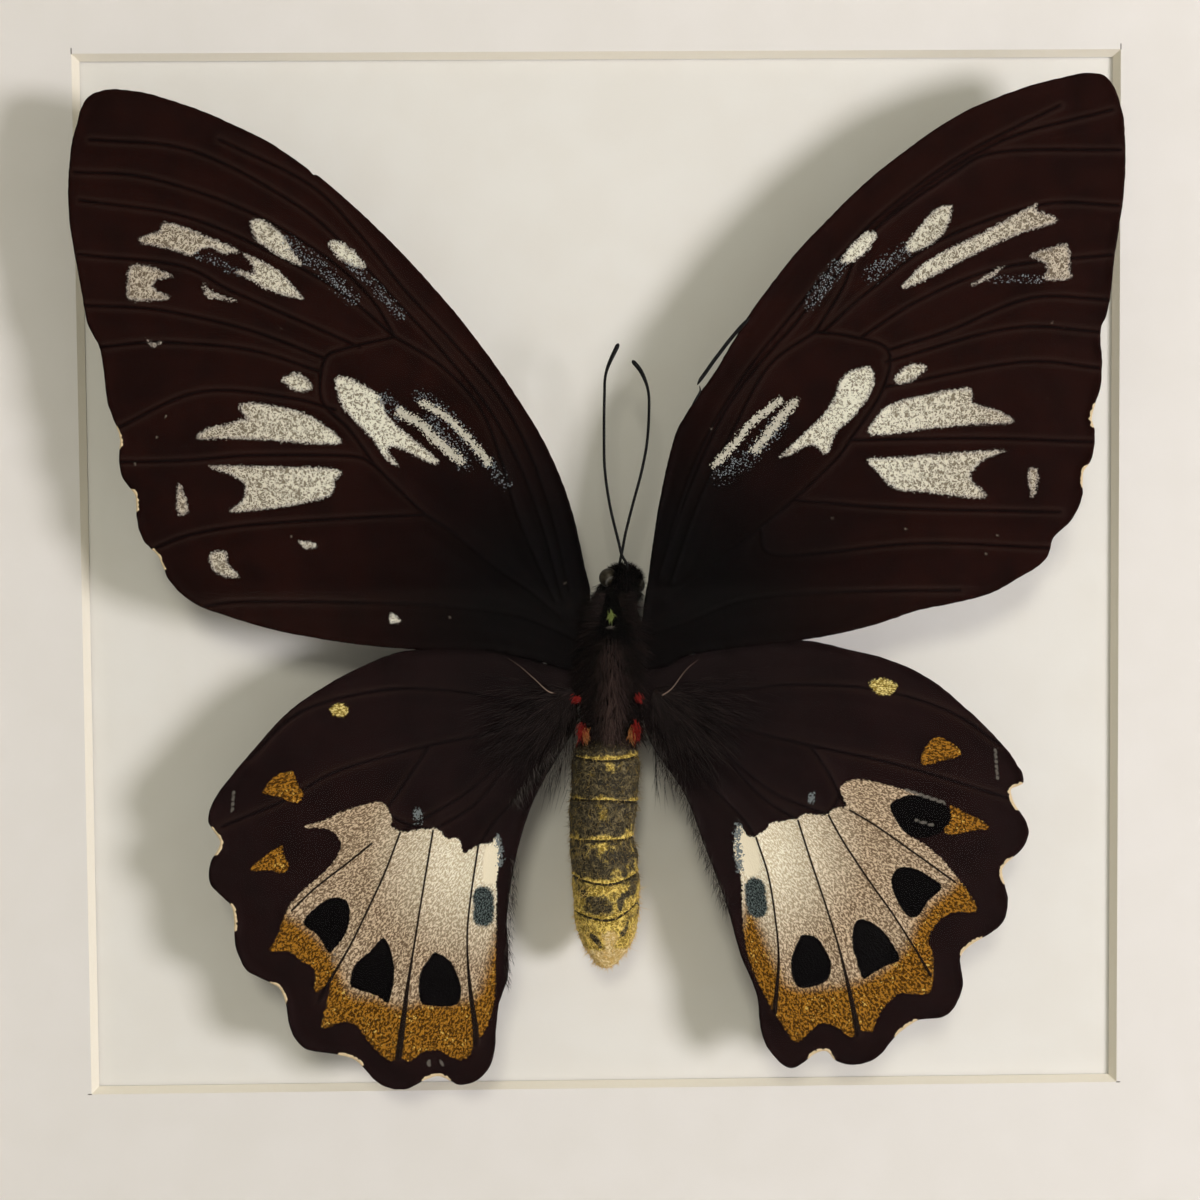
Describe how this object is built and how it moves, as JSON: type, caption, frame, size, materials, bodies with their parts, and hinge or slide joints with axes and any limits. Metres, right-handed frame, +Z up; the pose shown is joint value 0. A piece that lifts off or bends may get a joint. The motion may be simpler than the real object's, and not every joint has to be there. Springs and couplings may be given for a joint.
{
  "type": "framed butterfly specimen",
  "caption": "Large female birdwing butterfly with spread wings, mounted head up behind a white mat in a glazed shadow box that stands or hangs.",
  "frame": {"origin": "centre of the footprint of the bounding box, on the surface that the box stands on", "axes": "+Z up, front of the box faces -Y, +X to the right seen from the front"},
  "size_m": [0.278, 0.0426, 0.278],
  "materials": {
    "moulding": "black-brown stain, open grain, satin",
    "glass": "clear picture glass",
    "spacer": "matte white foam-cored strip",
    "mat": "matte warm white mat board, cream core at the cut",
    "mount_board": "matte off-white board",
    "backing": "brown hardboard",
    "steel": "zinc-plated",
    "support": "white foam block",
    "black_fur": "dense black down",
    "abdomen": "olive and yellow down",
    "horn": "dark horny skin",
    "forewing": "velvety brown-black scales with ivory patches",
    "hindwing": "scales: brown-black, ivory and old gold"
  },
  "bodies": {
    "root": {"rail_top": "moulding", "rail_bottom": "moulding", "rail_left": "moulding", "rail_right": "moulding", "glass": "glass", "spacer_top": "spacer", "spacer_bottom": "spacer", "spacer_left": "spacer", "spacer_right": "spacer", "mat": "mat", "mount_board": "mount_board", "backing_board": "backing", "flex_point_1": "steel", "flex_point_2": "steel", "flex_point_3": "steel", "flex_point_4": "steel", "flex_point_5": "steel", "flex_point_6": "steel", "flex_point_7": "steel", "flex_point_8": "steel", "sawtooth_hanger": "steel", "hanger_nail_left": "steel", "hanger_nail_right": "steel", "support_block": "support", "head": "black_fur", "thorax": "black_fur", "abdomen": "abdomen", "antenna_left": "horn", "antenna_right": "horn", "forewing_left": "forewing", "forewing_right": "forewing", "hindwing_left": "hindwing", "hindwing_right": "hindwing", "proboscis": "horn", "palp_left": "black_fur", "palp_right": "black_fur", "leg_fore_left": "horn", "leg_fore_right": "horn", "leg_mid_left": "horn", "leg_mid_right": "horn", "leg_hind_left": "horn", "leg_hind_right": "horn"}
  },
  "joints": []
}
